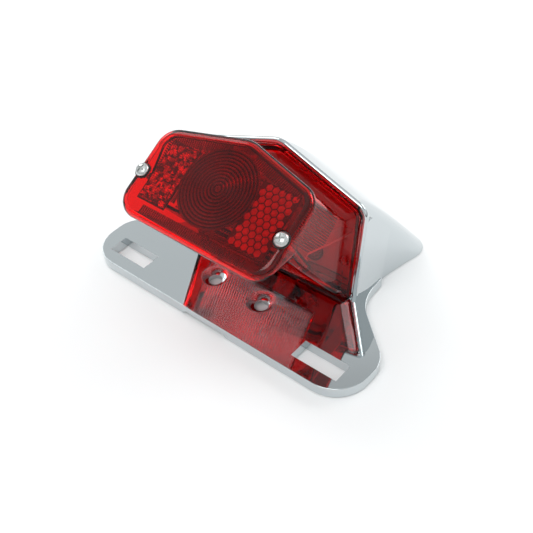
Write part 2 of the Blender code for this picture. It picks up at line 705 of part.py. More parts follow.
def make_contacts():
    carrier = plate("contact_carrier", [circle(SHELL_BORE - GAP, 32)], -15.2, -13.4, "fibre",
                    bulb_frame())
    holes = cylinders("carrier_holes", [(1.8, -17, -12, (x, 0)) for x in (-CONTACT_X, CONTACT_X)], None,
                      bulb_frame(), 20)
    cut(carrier, holes)
    plunger = [(0, -12.8), (1.3, -12.8), (1.5, -13.1), (1.5, -18.2), (0, -18.2)]
    for word, side in SIDES:
        turned("contact_plunger_" + word, plunger, "brass", bulb_frame(),
               ((side * CONTACT_X, 0),), 20)

    low = -22.0 + GAP + SPRING_WIRE
    high = -15.2 - GAP - SPRING_WIRE
    per_turn = 12
    count = SPRING_TURNS * per_turn
    points = []
    for step in range(count + 1):
        angle = 2 * pi * step / per_turn
        points.append((SPRING_RADIUS * cos(angle), SPRING_RADIUS * sin(angle),
                       low + (high - low) * step / count))
    wire("contact_spring", points, SPRING_WIRE, "zinc_steel", bulb_frame(), 1)

    back = plate("holder_back_disc", [circle(SHELL_BORE - GAP, 32)], -23.5, -22.0, "fibre",
                 bulb_frame())
    back_holes = cylinders("back_holes", [(1.3, -25, -20, (x, 0)) for x in (-CONTACT_X, CONTACT_X)], None,
                           bulb_frame(), 16)
    cut(back, back_holes)
    bores = cylinders("tab_bores", [(1.3, -26, -23, (x, 0)) for x in (-CONTACT_X, CONTACT_X)],
                      None, bulb_frame(), 16)
    for word, side in SIDES:
        x = side * CONTACT_X
        tab = boxes("terminal_tab_" + word, [((x - 2.4, -2.4, -24.6), (x + 2.4, 2.4, -23.8))],
                    "brass", bulb_frame())
        blade = boxes("terminal_blade_" + word, [((x - 2.4, -3.2, -31.0), (x + 2.4, -2.2, -23.8))],
                      None, bulb_frame())
        join(tab, blade)
        cut(tab, bores)
    rivet = [(0, -21.1), (1.2, -21.1), (1.9, -21.7), (1.0, -21.7), (1.0, -24.9), (1.9, -24.9),
             (1.2, -25.5), (0, -25.5)]
    for word, side in SIDES:
        turned("terminal_rivet_" + word, rivet, "brass", bulb_frame(), ((side * CONTACT_X, 0),), 16)


def circle(radius, count):
    return [(radius * cos(2 * pi * step / count), radius * sin(2 * pi * step / count))
            for step in range(count)]


# ---------------------------------------------------------------- bulb

def make_bulb():
    frame = bulb_frame()
    cap = [(6.9, CAP_FRONT), (CAP_RADIUS, CAP_FRONT), (CAP_RADIUS, CAP_BACK), (6.9, CAP_BACK)]
    shell = turned("bulb_cap", cap, "brass", frame, ((0, 0),), 32)
    for index, height in enumerate(PIN_HEIGHTS):
        turn = Matrix.Rotation(pi * index, 4, 'Z') @ Matrix.Translation((0, 0, height))
        lying = turn @ Matrix.Rotation(pi / 2, 4, 'Y')
        pin = cylinders("cap_pin_%d" % index, [(1.0, 7.2, 8.9, (0, 0))], None, frame @ lying, 16)
        join(shell, pin)

    insulator = [(0, CAP_BACK + 2.5), (6.6, CAP_BACK + 2.5), (6.6, CAP_BACK), (5.6, CAP_BACK - 0.5),
                 (0, CAP_BACK - 0.5)]
    disc = turned("bulb_insulator", insulator, "black_glass", frame, ((0, 0),), 28)
    pips = [(0, CAP_BACK - 0.2), (1.5, CAP_BACK - 0.2), (1.5, CAP_BACK - 1.0),
            (0.9, CAP_BACK - 1.5), (0, CAP_BACK - 1.5)]
    seats = cylinders("pip_seats", [(1.8, CAP_BACK - 3, CAP_BACK + GAP - 0.1, (x, 0))
                                    for x in (-CONTACT_X, CONTACT_X)], None, frame, 20)
    cut(disc, seats)
    for word, side in SIDES:
        turned("bulb_contact_" + word, pips, "solder", frame, ((side * CONTACT_X, 0),), 16)

    make_glass(frame)
    cylinders("filament_stem", [(4.4, -6.0, 8.0, (0, 0))], "glass", frame, 20)
    coil = frame @ Matrix.Rotation(pi / 2, 4, 'Y')
    for word, y, height in (("stop", -1.6, 24.0), ("tail", 1.6, 29.0)):
        cylinders("filament_" + word, [(0.5, -2.6, 2.6, (-height, y))], "tungsten", coil, 10)
        for end, side in SIDES:
            cylinders("filament_wire_%s_%s" % (word, end),
                      [(0.35, 8.0 + GAP, height + 0.8, (side * 3.3, y))], "tungsten", frame, 8)


def make_glass(frame):
    """The bulb's envelope: a ball that runs into a straight neck, open at the bottom."""
    neck = 6.3
    neck_low = CAP_FRONT - 9.0
    wall = 0.8
    centre = GLASS_TIP - GLASS_RADIUS
    outer = []
    inner = []
    for degrees in range(0, 141, 14):
        angle = radians(degrees)
        outer.append((GLASS_RADIUS * sin(angle), centre + GLASS_RADIUS * cos(angle)))
        inner.append(((GLASS_RADIUS - wall) * sin(angle), centre + (GLASS_RADIUS - wall) * cos(angle)))
    outer[0] = (0, GLASS_TIP)
    inner[0] = (0, GLASS_TIP - wall)
    outer += [(neck, centre - GLASS_RADIUS - 2.0), (neck, neck_low)]
    inner += [(neck - wall, centre - GLASS_RADIUS - 1.6), (neck - wall, neck_low)]
    turned("bulb_glass", outer + inner[::-1], "glass", frame, ((0, 0),), 32)


def main():
    global parts, cutters
    clear_scene()
    parts = new_collection("tail_light")
    cutters = new_collection("tail_light_cutters")
    make_housing()
    make_lens()
    make_window()
    make_gasket()
    make_lens_screws()
    make_base_plate()
    make_base_screws()
    make_grommet()
    make_bracket()
    make_holder()
    make_contacts()
    make_bulb()


main()
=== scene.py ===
"""Motorcycle tail light: the finished lens, its optics, the chromed casting and the studio,
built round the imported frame. Shapes are worked out in millimetres and set in metres."""
import json
from math import acos, cos, hypot, pi, radians, sin, sqrt, tan

import bmesh
import bpy
from bpy.props import FloatProperty, FloatVectorProperty, IntProperty, PointerProperty
from mathutils import Matrix, Vector


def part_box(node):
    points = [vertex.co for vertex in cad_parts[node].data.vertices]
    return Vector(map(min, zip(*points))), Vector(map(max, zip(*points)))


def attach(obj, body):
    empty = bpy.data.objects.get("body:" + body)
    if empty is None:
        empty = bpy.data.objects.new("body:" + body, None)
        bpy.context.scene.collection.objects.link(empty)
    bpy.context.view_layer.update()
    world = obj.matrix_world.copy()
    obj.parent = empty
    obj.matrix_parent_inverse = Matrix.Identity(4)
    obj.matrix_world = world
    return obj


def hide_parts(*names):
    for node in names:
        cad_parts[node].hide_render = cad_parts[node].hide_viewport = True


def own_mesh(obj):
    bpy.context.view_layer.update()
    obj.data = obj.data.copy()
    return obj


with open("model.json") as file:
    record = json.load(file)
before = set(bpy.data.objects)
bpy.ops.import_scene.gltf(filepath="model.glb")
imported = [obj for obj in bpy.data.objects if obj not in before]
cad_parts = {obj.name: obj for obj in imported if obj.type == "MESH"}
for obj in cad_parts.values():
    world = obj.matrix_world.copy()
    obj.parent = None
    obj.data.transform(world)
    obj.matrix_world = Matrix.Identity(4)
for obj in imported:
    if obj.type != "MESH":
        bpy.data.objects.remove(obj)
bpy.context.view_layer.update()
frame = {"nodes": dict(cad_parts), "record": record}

bl_info = {
    "name": "Motorcycle tail light",
    "version": (1, 0, 0),
    "blender": (4, 5, 0),
    "location": "3D View > Sidebar > Tail Light",
    "description": "Builds a chromed tail light with a red wedge lens on its packed frame",
    "category": "Object",
}

MM = 0.001

# Places are taken from the plate face: the datum lies 6 mm below it, on the line of its slots.
PLATE_FACE = next(mount for mount in frame["record"]["mounts"] if mount["name"] == "plate_face")
DATUM = Vector(PLATE_FACE["pos_m"]) / MM - Vector((0, 0, 6.0))

RIM_SET_BACK = 46.5
RIM_LEAN = radians(9.8)
RIM_HALF_WIDTH = 62.7
RIM_SHOULDER = 66.9
RIM_APEX = 87.5

FACE_CENTRE = (1.2, 78.9)
FACE_TILT = radians(29.1)
FACE_HALF_WIDTH = 54.3
FACE_BOTTOM = -25.4
FACE_SHOULDER = 28.9
FACE_APEX = 42.3
FACE_ROUND = 4.5
CAP_FLOOR = -10.0
CAP_TOP = 14.0
CAP_SLOPE = 0.43
LENS_SEAT = -0.2
LENS_FLOOR = 4.7
SKIRT = ((9.9, 7.0, 9.0), (9.1, 4.2, 8.0), (6.6, 2.4, 5.9), (4.5, 1.8, LENS_FLOOR),
         (4.5, LENS_SEAT, LENS_FLOOR))
SCREW_PITCH = 99.4
BODY_SLOPE = radians(51.4)      # how steeply the lens body runs back and down from its face
BOSS_REACH = -36.0
SCREW_END = -33.0

# Places on the lens face, as (u, v), and depths behind it.
RING_CENTRE = (-1.0, 9.5)
RING_DEPTH = 2.5
RING_SHADE_DEPTH = 3.4          # the middle of the optic, which its painted shade lines run round
RING_RISER = 0.08
REFLECTOR_CENTRE = (-35.0, 5.0)
CELL_CENTRE = (31.5, 5.5)
CELL_BACK_CENTRE = (32.3, 5.5)
OPTIC_DEPTH = 3.9
BACKING_DEPTH = 4.0
BACKING_THICKNESS = 0.8
FLUTE_DEPTH = 3.4
PATTERN_HEIGHT = 0.0011         # metres, as the geometry trees take it
STRIP_CORNERS = slice(6, 46)    # the outline's points along its upper and right-hand side
STRIP_EDGES = (2.9, 5.2)

FLOOR_DROP = 0.0004
FLOOR_HALF_SIZE = 4.0
SOFTBOX_AIM = (0, 0, 0.03)
CAMERA_STAND = (255.0, -226.9, 345.3)
CAMERA_RIGHT = (0.7618, 0.6447, -0.0626)
CAMERA_BACK = (0.5062, -0.5323, 0.6785)
CAMERA_LENS = 55.9
# Brightness of the room by height: 0 is straight down, 0.5 the horizon and 1 straight up.
SKY_BANDS = ((0.0, 0.85), (0.49, 0.75), (0.505, 0.03), (0.54, 0.05), (0.57, 0.55),
             (0.72, 0.85), (0.80, 0.68), (0.87, 0.62), (0.905, 0.40), (1.0, 1.0))
SKY_STRENGTH = 1.12


# ---------------------------------------------------------------- settings

class TailLightSizes(bpy.types.PropertyGroup):
    lens_wall: FloatProperty(name="Lens wall", description="Thickness of the moulded lens",
                             default=0.0022, min=0.001, max=0.004, unit='LENGTH')
    ring_count: IntProperty(name="Rings", description="Ridges of the round optic", default=12,
                            min=4, max=30)
    ring_radius: FloatProperty(name="Ring radius", description="Radius of the round optic",
                               default=0.0240, unit='LENGTH')
    cell_pitch: FloatProperty(name="Cell pitch", description="Spacing of the six-sided cells",
                              default=0.0043, unit='LENGTH')
    prism_pitch: FloatProperty(name="Prism pitch", description="Spacing of the corner prisms",
                               default=0.00125, unit='LENGTH')
    flute_pitch: FloatProperty(name="Flute pitch", description="Spacing of the fine flutes",
                               default=0.0014, unit='LENGTH')
    edge_soften: FloatProperty(name="Edge softening", description="Radius on the casting's edges",
                               default=0.0005, unit='LENGTH')


class TailLightColours(bpy.types.PropertyGroup):
    lens_red: FloatVectorProperty(name="Lens red", description="Colour of the moulded lens",
                                  default=(0.90, 0.007, 0.009), subtype='COLOR', min=0, max=1)
    chrome_tint: FloatVectorProperty(name="Chrome", description="Tint of the plated casting",
                                     default=(0.60, 0.64, 0.655), subtype='COLOR', min=0, max=1)
    floor_white: FloatVectorProperty(name="Floor", description="Colour of the studio floor",
                                     default=(0.93, 0.93, 0.93), subtype='COLOR', min=0, max=1)


# ---------------------------------------------------------------- frames and outlines

def world_frame():
    return Matrix.Translation(DATUM)


def frame_at(y, z, up):
    """A frame at (0, y, z) whose local Y is the given (y, z) direction and local X the world's."""
    local_y = Vector((0, up[0], up[1])).normalized()
    local_x = Vector((1, 0, 0))
    axes = Matrix((local_x, local_y, local_x.cross(local_y))).transposed().to_4x4()
    return world_frame() @ Matrix.Translation((0, y, z)) @ axes


def rim_frame():
    return frame_at(RIM_SET_BACK, 0, (sin(RIM_LEAN), cos(RIM_LEAN)))


def face_frame():
    return frame_at(FACE_CENTRE[0], FACE_CENTRE[1], (cos(FACE_TILT), sin(FACE_TILT)))


def on_face(u, v, depth, turn=0.0):
    """A frame on the lens face at (u, v), sunk by the depth and turned about the face's normal."""
    return face_frame() @ Matrix.Translation((u, v, -depth)) @ Matrix.Rotation(turn, 4, 'Z')


def rounded(corners, segments):
    """The outline through (x, y, radius) corners, each one rounded to its radius."""
    points = []
    count = len(corners)
    for index, (x, y, radius) in enumerate(corners):
        here = Vector((x, y))
        before = (Vector(corners[index - 1][:2]) - here).normalized()
        after = (Vector(corners[(index + 1) % count][:2]) - here).normalized()
        half = acos(max(-1.0, min(1.0, before.dot(after)))) / 2
        centre = here + (before + after).normalized() * (radius / sin(half))
        start = here + before * (radius / tan(half)) - centre
        sweep = start.angle_signed(here + after * (radius / tan(half)) - centre)
        for step in range(segments + 1):
            point = centre + Matrix.Rotation(-sweep * step / segments, 2) @ start
            points.append((point.x, point.y))
    return points


def house(half_width, floor, shoulder, apex, inset, radii, segments=12):
    """A rounded house outline, drawn in by the inset on every side."""
    slope = (apex - shoulder) / half_width
    top = apex - inset * hypot(1, slope)
    width = half_width - inset
    eave = top - width * slope
    foot, corner, crown = (max(0.6, radius - inset) for radius in radii)
    corners = [(width, floor + inset, foot), (width, eave, corner), (0, top, crown),
               (-width, eave, corner), (-width, floor + inset, foot)]
    return rounded(corners, segments)


def face_outline(inset):
    return house(FACE_HALF_WIDTH, FACE_BOTTOM, FACE_SHOULDER, FACE_APEX, inset,
                 (13.0, 13.0, 20.0))


def cap_depth(height):
    return FACE_ROUND + CAP_SLOPE * max(0.0, CAP_TOP - height)


# ---------------------------------------------------------------- meshes and objects

def link(obj):
    bpy.context.scene.collection.objects.link(obj)
    return obj


def mesh_of(name, bm, place):
    """The bmesh's shape, closed and facing outwards, moved from millimetres to its place."""
    bmesh.ops.remove_doubles(bm, verts=bm.verts, dist=0.0005)
    bmesh.ops.recalc_face_normals(bm, faces=bm.faces)
    mesh = bpy.data.meshes.new(name)
    bm.to_mesh(mesh)
    bm.free()
    mesh.transform(Matrix.Scale(MM, 4) @ place)
    return mesh


def evaluated(obj):
    graph = bpy.context.evaluated_depsgraph_get()
    return bpy.data.meshes.new_from_object(obj.evaluated_get(graph), depsgraph=graph)


def finished(name, mesh, material, body="casting", replaced=(), crease=34):
    """The mesh as a piece of the lamp: smooth but for its creases, riding on its body."""
    piece = link(bpy.data.objects.new(name, mesh))
    mesh.materials.clear()
    mesh.materials.append(bpy.data.materials[material])
    mesh.shade_smooth()
    mesh.set_sharp_from_angle(angle=radians(crease))
    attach(piece, body)
    if replaced:
        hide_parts(*replaced)
    return piece


def loft(name, rings, place):
    """A closed body through rings of equal point counts."""
    bm = bmesh.new()
    rows = [[bm.verts.new(point) for point in ring] for ring in rings]
    for lower, upper in zip(rows, rows[1:]):
        count = len(lower)
        for index in range(count):
            after = (index + 1) % count
            bm.faces.new((lower[index], lower[after], upper[after], upper[index]))
    bm.faces.new(rows[0][::-1])
    bm.faces.new(rows[-1])
    return mesh_of(name, bm, place)


def turned(name, profile, place, places=((0, 0),), steps=48):
    """A turned piece at each place, from a profile of (radius, height)."""
    bm = bmesh.new()
    for x, y in places:
        rings = []
        for radius, height in profile:
            if radius == 0:
                rings.append([bm.verts.new((x, y, height))])
                continue
            rings.append([bm.verts.new((x + radius * cos(2 * pi * step / steps),
                                        y + radius * sin(2 * pi * step / steps), height))
                          for step in range(steps)])
        closed = rings if profile[0][0] == 0 else rings + [rings[0]]
        for lower, upper in zip(closed, closed[1:]):
            for step in range(steps):
                after = (step + 1) % steps
                corners = [lower[step % len(lower)], lower[after % len(lower)],
                           upper[after % len(upper)], upper[step % len(upper)]]
                bm.faces.new(list(dict.fromkeys(corners)))
    return mesh_of(name, bm, place)


def boxes(name, specs, place):
    """Boxes from (centre, size) pairs."""
    bm = bmesh.new()
    for centre, size in specs:
        matrix = Matrix.Translation(centre) @ Matrix.Diagonal((*size, 1))
        bmesh.ops.create_cube(bm, size=1, matrix=matrix)
    return mesh_of(name, bm, place)


def cut_by(name, mesh, tools):
    """The mesh with every tool mesh cut out of it."""
    body = link(bpy.data.objects.new(name, mesh))
    helpers = [link(bpy.data.objects.new(name + "_tool", tool)) for tool in tools]
    for helper in helpers:
        modifier = body.modifiers.new("cut", 'BOOLEAN')
        modifier.operation = 'DIFFERENCE'
        modifier.solver = 'EXACT'
        modifier.object = helper
    result = evaluated(body)
    for used in [body] + helpers:
        bpy.data.objects.remove(used, do_unlink=True)
    return result


# ---------------------------------------------------------------- shader groups and materials

def new_shader_group(name, inputs, outputs):
    group = bpy.data.node_groups.new(name, 'ShaderNodeTree')
    for label, kind in inputs:
        group.interface.new_socket(label, in_out='INPUT', socket_type=kind)
    for label, kind in outputs:
        group.interface.new_socket(label, in_out='OUTPUT', socket_type=kind)
    return group, group.nodes.new('NodeGroupInput'), group.nodes.new('NodeGroupOutput')


def make_variation_group():
    """Cloudy change of colour and roughness, as handling and moulding leave on a surface; on the
    corner prisms, at about their own size, it varies their brightness as painted glints and
    painted shade.
    """
    group, source, sink = new_shader_group(
        "surface_variation",
        (("Colour", 'NodeSocketColor'), ("Roughness", 'NodeSocketFloat'),
         ("Scale", 'NodeSocketFloat'), ("Darkening", 'NodeSocketFloat'),
         ("Roughening", 'NodeSocketFloat')),
        (("Colour", 'NodeSocketColor'), ("Roughness", 'NodeSocketFloat')))
    nodes, links = group.nodes, group.links
    place = nodes.new('ShaderNodeTexCoord')
    cloud = nodes.new('ShaderNodeTexNoise')
    cloud.inputs["Detail"].default_value = 4.0
    links.new(place.outputs["Object"], cloud.inputs["Vector"])
    links.new(source.outputs["Scale"], cloud.inputs["Scale"])
    shade = nodes.new('ShaderNodeMath')
    shade.operation = 'MULTIPLY'
    links.new(cloud.outputs["Fac"], shade.inputs[0])
    links.new(source.outputs["Darkening"], shade.inputs[1])
    keep = nodes.new('ShaderNodeMath')
    keep.operation = 'SUBTRACT'
    keep.inputs[0].default_value = 1.0
    links.new(shade.outputs[0], keep.inputs[1])
    tint = nodes.new('ShaderNodeVectorMath')
    tint.operation = 'SCALE'
    links.new(source.outputs["Colour"], tint.inputs[0])
    links.new(keep.outputs[0], tint.inputs["Scale"])
    links.new(tint.outputs[0], sink.inputs["Colour"])
    rough = nodes.new('ShaderNodeMath')
    rough.operation = 'MULTIPLY_ADD'
    links.new(cloud.outputs["Fac"], rough.inputs[0])
    links.new(source.outputs["Roughening"], rough.inputs[1])
    links.new(source.outputs["Roughness"], rough.inputs[2])
    links.new(rough.outputs[0], sink.inputs["Roughness"])


def make_grain_group():
    """Fine height of a cast, plated or moulded surface."""
    group, source, sink = new_shader_group(
        "surface_grain", (("Scale", 'NodeSocketFloat'), ("Stretch", 'NodeSocketFloat')),
        (("Height", 'NodeSocketFloat'),))
    nodes, links = group.nodes, group.links
    place = nodes.new('ShaderNodeTexCoord')
    stretch = nodes.new('ShaderNodeCombineXYZ')
    stretch.inputs["Y"].default_value = 1.0
    stretch.inputs["Z"].default_value = 1.0
    links.new(source.outputs["Stretch"], stretch.inputs["X"])
    scaled = nodes.new('ShaderNodeVectorMath')
    scaled.operation = 'MULTIPLY'
    links.new(place.outputs["Object"], scaled.inputs[0])
    links.new(stretch.outputs[0], scaled.inputs[1])
    grain = nodes.new('ShaderNodeTexNoise')
    grain.inputs["Detail"].default_value = 3.0
    links.new(scaled.outputs[0], grain.inputs["Vector"])
    links.new(source.outputs["Scale"], grain.inputs["Scale"])
    links.new(grain.outputs["Fac"], sink.inputs["Height"])


def make_glint_group():
    """Painted glints and painted shade: bright and dark specks, one to a cell, where corner prisms
    would throw light back or lose it.
    """
    group, source, sink = new_shader_group(
        "painted_cell_glints",
        (("Dark", 'NodeSocketColor'), ("Bright", 'NodeSocketColor'), ("Scale", 'NodeSocketFloat')),
        (("Colour", 'NodeSocketColor'),))
    nodes, links = group.nodes, group.links
    place = nodes.new('ShaderNodeTexCoord')
    cells = nodes.new('ShaderNodeTexVoronoi')
    links.new(place.outputs["Object"], cells.inputs["Vector"])
    links.new(source.outputs["Scale"], cells.inputs["Scale"])
    parts = nodes.new('ShaderNodeSeparateColor')
    links.new(cells.outputs["Color"], parts.inputs[0])
    share = nodes.new('ShaderNodeMapRange')
    share.inputs["From Min"].default_value = 0.35
    share.inputs["From Max"].default_value = 0.95
    links.new(parts.outputs[0], share.inputs["Value"])
    blend = nodes.new('ShaderNodeMix')
    blend.data_type = 'RGBA'
    links.new(share.outputs["Result"], blend.inputs["Factor"])
    links.new(source.outputs["Dark"], blend.inputs[6])
    links.new(source.outputs["Bright"], blend.inputs[7])
    links.new(blend.outputs[2], sink.inputs["Colour"])


def paint_glints(material, dark, bright, scale):
    """Put painted glints and painted shade, as bright and dark specks, in place of the material's
    plain colour.
    """
    nodes, links = material.node_tree.nodes, material.node_tree.links
    specks = nodes.new('ShaderNodeGroup')
    specks.node_tree = bpy.data.node_groups["painted_cell_glints"]
    specks.inputs["Dark"].default_value = (*dark, 1)
    specks.inputs["Bright"].default_value = (*bright, 1)
    specks.inputs["Scale"].default_value = scale
    links.new(specks.outputs["Colour"], nodes["Group"].inputs["Colour"])


def paint_step_shade(material, centre, pitch, dark):
    """Painted shade: darken a thin line round the centre at every pitch, where the steps of the
    optic lie.
    """
    nodes, links = material.node_tree.nodes, material.node_tree.links
    place = nodes.new('ShaderNodeTexCoord')
    away = nodes.new('ShaderNodeVectorMath')
    away.operation = 'DISTANCE'
    away.inputs[1].default_value = centre
    links.new(place.outputs["Object"], away.inputs[0])
    count = nodes.new('ShaderNodeMath')
    count.operation = 'DIVIDE'
    count.inputs[1].default_value = pitch
    links.new(away.outputs["Value"], count.inputs[0])
    share = nodes.new('ShaderNodeMath')
    share.operation = 'FRACT'
    links.new(count.outputs[0], share.inputs[0])
    ramp = nodes.new('ShaderNodeValToRGB')
    colour = nodes["Group"].inputs["Colour"].default_value[:]
    ramp.color_ramp.elements[0].position = 0.30
    ramp.color_ramp.elements[0].color = (*dark, 1)
    ramp.color_ramp.elements[1].position = 0.75
    ramp.color_ramp.elements[1].color = colour
    links.new(share.outputs[0], ramp.inputs["Fac"])
    links.new(ramp.outputs["Color"], nodes["Group"].inputs["Colour"])


def new_finish(name, colour, roughness, metallic=0.0, clouds=(60.0, 0.1, 0.03),
               grain=(900.0, 1.0, 0.04, 0.0001), transmission=0.0, ior=1.49, coat=0.0, gloss=0.5):
    """A Principled material with cloudy variation (scale, darkening, roughening) and grain
    (scale, stretch, strength, depth in metres)."""
    packed = bpy.data.materials.get(name)
    if packed is not None:
        packed.name = name + "_packed"
    material = bpy.data.materials.new(name)
    material.use_nodes = True
    nodes, links = material.node_tree.nodes, material.node_tree.links
    shader = nodes["Principled BSDF"]
    shader.inputs["Metallic"].default_value = metallic
    shader.inputs["Transmission Weight"].default_value = transmission
    shader.inputs["IOR"].default_value = ior
    shader.inputs["Coat Weight"].default_value = coat
    shader.inputs["Specular IOR Level"].default_value = gloss
    varied = nodes.new('ShaderNodeGroup')
    varied.node_tree = bpy.data.node_groups["surface_variation"]
    varied.inputs["Colour"].default_value = (*colour, 1)
    varied.inputs["Roughness"].default_value = roughness
    varied.inputs["Scale"].default_value = clouds[0]
    varied.inputs["Darkening"].default_value = clouds[1]
    varied.inputs["Roughening"].default_value = clouds[2]
    links.new(varied.outputs["Colour"], shader.inputs["Base Color"])
    links.new(varied.outputs["Roughness"], shader.inputs["Roughness"])
    texture = nodes.new('ShaderNodeGroup')
    texture.node_tree = bpy.data.node_groups["surface_grain"]
    texture.inputs["Scale"].default_value = grain[0]
    texture.inputs["Stretch"].default_value = grain[1]
    bump = nodes.new('ShaderNodeBump')
    bump.inputs["Strength"].default_value = grain[2]
    bump.inputs["Distance"].default_value = grain[3]
    links.new(texture.outputs["Height"], bump.inputs["Height"])
    links.new(bump.outputs["Normal"], shader.inputs["Normal"])
    material.diffuse_color = (*colour, 1)
    return material


class TAILLIGHT_OT_finishes(bpy.types.Operator):
    """Make every material of the lamp and give the kept inner pieces theirs"""
    bl_idname = "tail_light.finishes"
    bl_label = "Finishes"

    def execute(self, context):
        colours = context.scene.tail_light_colours
        make_variation_group()
        make_grain_group()
        make_glint_group()
        new_finish("chrome", tuple(colours.chrome_tint), 0.02, 1.0, (25.0, 0.04, 0.03),
                   (28.0, 1.0, 0.06, 0.0006))
        new_finish("red_lens", tuple(colours.lens_red), 0.015, 0.0, (40.0, 0.06, 0.02),
                   (60.0, 1.0, 0.05, 0.0002), 1.0, 1.36, gloss=0.4)
        new_finish("red_cells", (1.0, 0.07, 0.05), 0.16, 0.0, (130.0, 0.6, 0.1),
                   (700.0, 1.0, 0.15, 0.0001), coat=0.6)
        # The prism material carries painted light: painted glints and painted shade in its specks,
        # and a painted glow from its emission, though the prisms are no lamp.
        prisms = new_finish("red_prisms", (0.9, 0.008, 0.008), 0.10, 0.0, (900.0, 0.3, 0.1),
                            (1500.0, 1.0, 0.3, 0.0001), coat=0.6)
        # Painted glints and painted shade: bright and dark specks over the prisms.
        paint_glints(prisms, (0.10, 0.001, 0.001), (1.0, 0.05, 0.04), 620.0)
        nodes = prisms.node_tree.nodes
        # Painted glow: the speckled colour is given out as light.
        painted_glow = nodes["Principled BSDF"].inputs
        painted_glow["Emission Strength"].default_value = 0.5
        prisms.node_tree.links.new(nodes["Group"].outputs["Colour"], painted_glow["Emission Color"])
        # A near-black red for the sheets behind the optics: painted shade for the dark inside of
        # the lamp.
        new_finish("shade_backing", (0.10, 0.001, 0.002), 0.35, 0.0, (200.0, 0.4, 0.1),
                   (800.0, 1.0, 0.1, 0.0001))
        # The lens's red with painted shade: the flutes are made darker for the dark lines their
        # ridges show.
        new_finish("flute_shade_red", (0.22, 0.002, 0.003), 0.12, 0.0, (200.0, 0.5, 0.1),
                   (800.0, 1.0, 0.1, 0.0001), 0.2)
        new_finish("edge_shadow", (0.025, 0.018, 0.018), 0.25, 0.0, (90.0, 0.4, 0.1),
                   (400.0, 1.0, 0.1, 0.0001))
        rings = new_finish("ring_red", (0.80, 0.02, 0.018), 0.10, 0.0, (60.0, 0.7, 0.05),
                           (400.0, 1.0, 0.05, 0.0001), 0.75, 1.3, 0.3)
        sizes = context.scene.tail_light_sizes
        # Painted shade lines at the steps of the round optic.
        middle = (on_face(*RING_CENTRE, RING_SHADE_DEPTH).translation * MM)[:]
        paint_step_shade(rings, middle, sizes.ring_radius / sizes.ring_count, (0.13, 0.002, 0.003))
        new_finish("clear_plastic", (0.93, 0.91, 0.92), 0.03, 0.0, (60.0, 0.05, 0.03),
                   (80.0, 1.0, 0.05, 0.0001), 1.0, 1.49)
        new_finish("black_rubber", (0.018, 0.018, 0.019), 0.55, 0.0, (150.0, 0.4, 0.2),
                   (2200.0, 1.0, 0.4, 0.00015))
        new_finish("zinc_steel", (0.72, 0.74, 0.73), 0.20, 1.0, (350.0, 0.3, 0.16),
                   (1400.0, 1.0, 0.25, 0.0001))
        new_finish("white_plate", (0.86, 0.86, 0.84), 0.30, 0.0, (50.0, 0.08, 0.1),
                   (600.0, 1.0, 0.12, 0.0002), coat=0.3)
        new_finish("brass", (0.80, 0.58, 0.26), 0.24, 1.0, (240.0, 0.3, 0.15),
                   (900.0, 3.0, 0.2, 0.0001))
        new_finish("fibre", (0.26, 0.12, 0.055), 0.65, 0.0, (500.0, 0.5, 0.15),
                   (1200.0, 0.2, 0.5, 0.0002))
        new_finish("glass", (0.97, 0.97, 0.97), 0.01, 0.0, (80.0, 0.02, 0.02),
                   (120.0, 1.0, 0.03, 0.0001), 1.0, 1.5)
        new_finish("black_glass", (0.015, 0.014, 0.016), 0.12, 0.0, (200.0, 0.3, 0.15),
                   (700.0, 1.0, 0.2, 0.0001), coat=0.5)
        new_finish("solder", (0.60, 0.60, 0.58), 0.34, 1.0, (500.0, 0.4, 0.2),
                   (1100.0, 1.0, 0.5, 0.0002))
        new_finish("tungsten", (0.40, 0.40, 0.42), 0.35, 1.0, (700.0, 0.4, 0.2),
                   (3000.0, 8.0, 0.4, 0.0001))
        for entry in frame["record"]["subparts"]:
            node = frame["nodes"][entry["node"]]
            node.data.materials.clear()
            node.data.materials.append(bpy.data.materials[entry["material_slot"]])
        return {'FINISHED'}


# ---------------------------------------------------------------- casting

class TAILLIGHT_OT_casting(bpy.types.Operator):
    """Chromed casting with its edges softened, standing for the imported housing"""
    bl_idname = "tail_light.casting"
    bl_label = "Chromed casting"

    def execute(self, context):
        sizes = context.scene.tail_light_sizes
        bm = bmesh.new()
        bm.from_mesh(frame["nodes"]["housing"].data)
        bmesh.ops.remove_doubles(bm, verts=bm.verts, dist=0.00001)
        bmesh.ops.dissolve_limit(bm, angle_limit=radians(0.6), verts=bm.verts, edges=bm.edges)
        mesh = bpy.data.meshes.new("casting")
        bm.to_mesh(mesh)
        bm.free()
        rough = link(bpy.data.objects.new("casting_rough", mesh))
        soften = rough.modifiers.new("soften", 'BEVEL')
        soften.width = sizes.edge_soften
        soften.segments = 3
        soften.limit_method = 'ANGLE'
        soften.angle_limit = radians(38)
        smooth = evaluated(rough)
        bpy.data.objects.remove(rough, do_unlink=True)
        piece = finished("casting_shell", smooth, "chrome", replaced=("housing",),
                         crease=40)
        weighted = piece.modifiers.new("even_flats", 'WEIGHTED_NORMAL')
        weighted.keep_sharp = True
        weighted.weight = 90
        return {'FINISHED'}


class TAILLIGHT_OT_spring(bpy.types.Operator):
    """Contact spring, copied from the imported one; the real spring shortens towards its fixed end
    as the bulb is pushed in.
    """
    bl_idname = "tail_light.spring"
    bl_label = "Contact spring"

    def execute(self, context):
        node = frame["nodes"]["contact_spring"]
        mesh = node.data.copy()
        mesh.transform(node.matrix_world)
        material = mesh.materials[0].name
        piece = finished("spring_coil", mesh, material, replaced=("contact_spring",))
        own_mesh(piece)
        return {'FINISHED'}


# ---------------------------------------------------------------- lens

